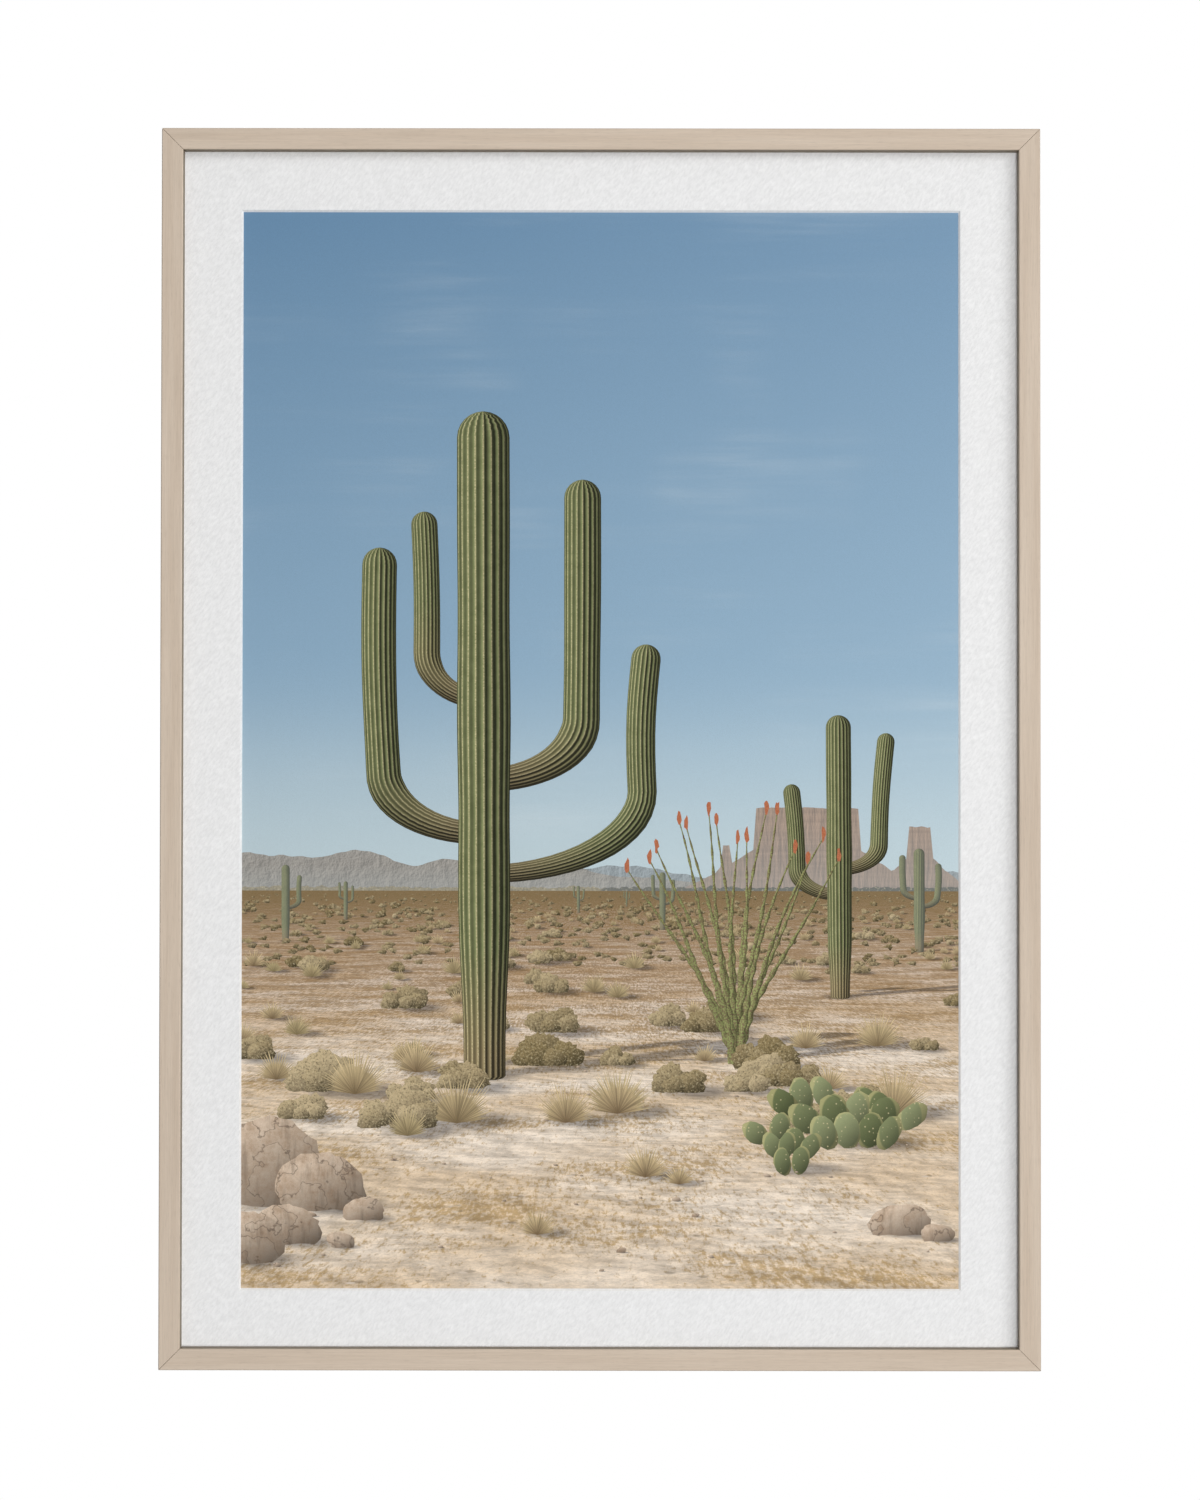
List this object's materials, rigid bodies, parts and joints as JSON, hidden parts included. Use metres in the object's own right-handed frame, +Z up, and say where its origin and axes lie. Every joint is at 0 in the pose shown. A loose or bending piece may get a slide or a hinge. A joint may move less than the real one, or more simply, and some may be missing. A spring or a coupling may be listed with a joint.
{
  "type": "framed print",
  "caption": "Portrait-format print in a white bevelled mat behind clear acrylic, in a pale mitred wooden frame that hangs flat on a wall.",
  "frame": {"origin": "middle of the top rail's back face, in the plane of the wall", "axes": "+X to the viewer's right, +Z up, +Y into the wall, so that the picture faces -Y"},
  "size_m": [0.73, 0.03, 1.03],
  "materials": {
    "pale_wood": "matte",
    "clear_acrylic": "polished",
    "white_mat": "matte",
    "printed_paper": "matte",
    "foam_board": "matte",
    "fibreboard": "matte",
    "zinc_plated_steel": "satin"
  },
  "bodies": {
    "root": {"rail_bottom": "pale_wood", "rail_left": "pale_wood", "rail_top": "pale_wood", "rail_right": "pale_wood", "glazing": "clear_acrylic", "mat_board": "white_mat", "print_sheet": "printed_paper", "mounting_board": "foam_board", "backing_board": "fibreboard", "tab_bottom_1": "zinc_plated_steel", "tab_bottom_2": "zinc_plated_steel", "tab_bottom_3": "zinc_plated_steel", "tab_left_1": "zinc_plated_steel", "tab_left_2": "zinc_plated_steel", "tab_left_3": "zinc_plated_steel", "tab_left_4": "zinc_plated_steel", "tab_top_1": "zinc_plated_steel", "tab_top_2": "zinc_plated_steel", "tab_top_3": "zinc_plated_steel", "tab_right_1": "zinc_plated_steel", "tab_right_2": "zinc_plated_steel", "tab_right_3": "zinc_plated_steel", "tab_right_4": "zinc_plated_steel", "hanger_left": "zinc_plated_steel", "hanger_right": "zinc_plated_steel", "screw_left_inner": "zinc_plated_steel", "screw_left_outer": "zinc_plated_steel", "screw_right_inner": "zinc_plated_steel", "screw_right_outer": "zinc_plated_steel"}
  },
  "joints": []
}
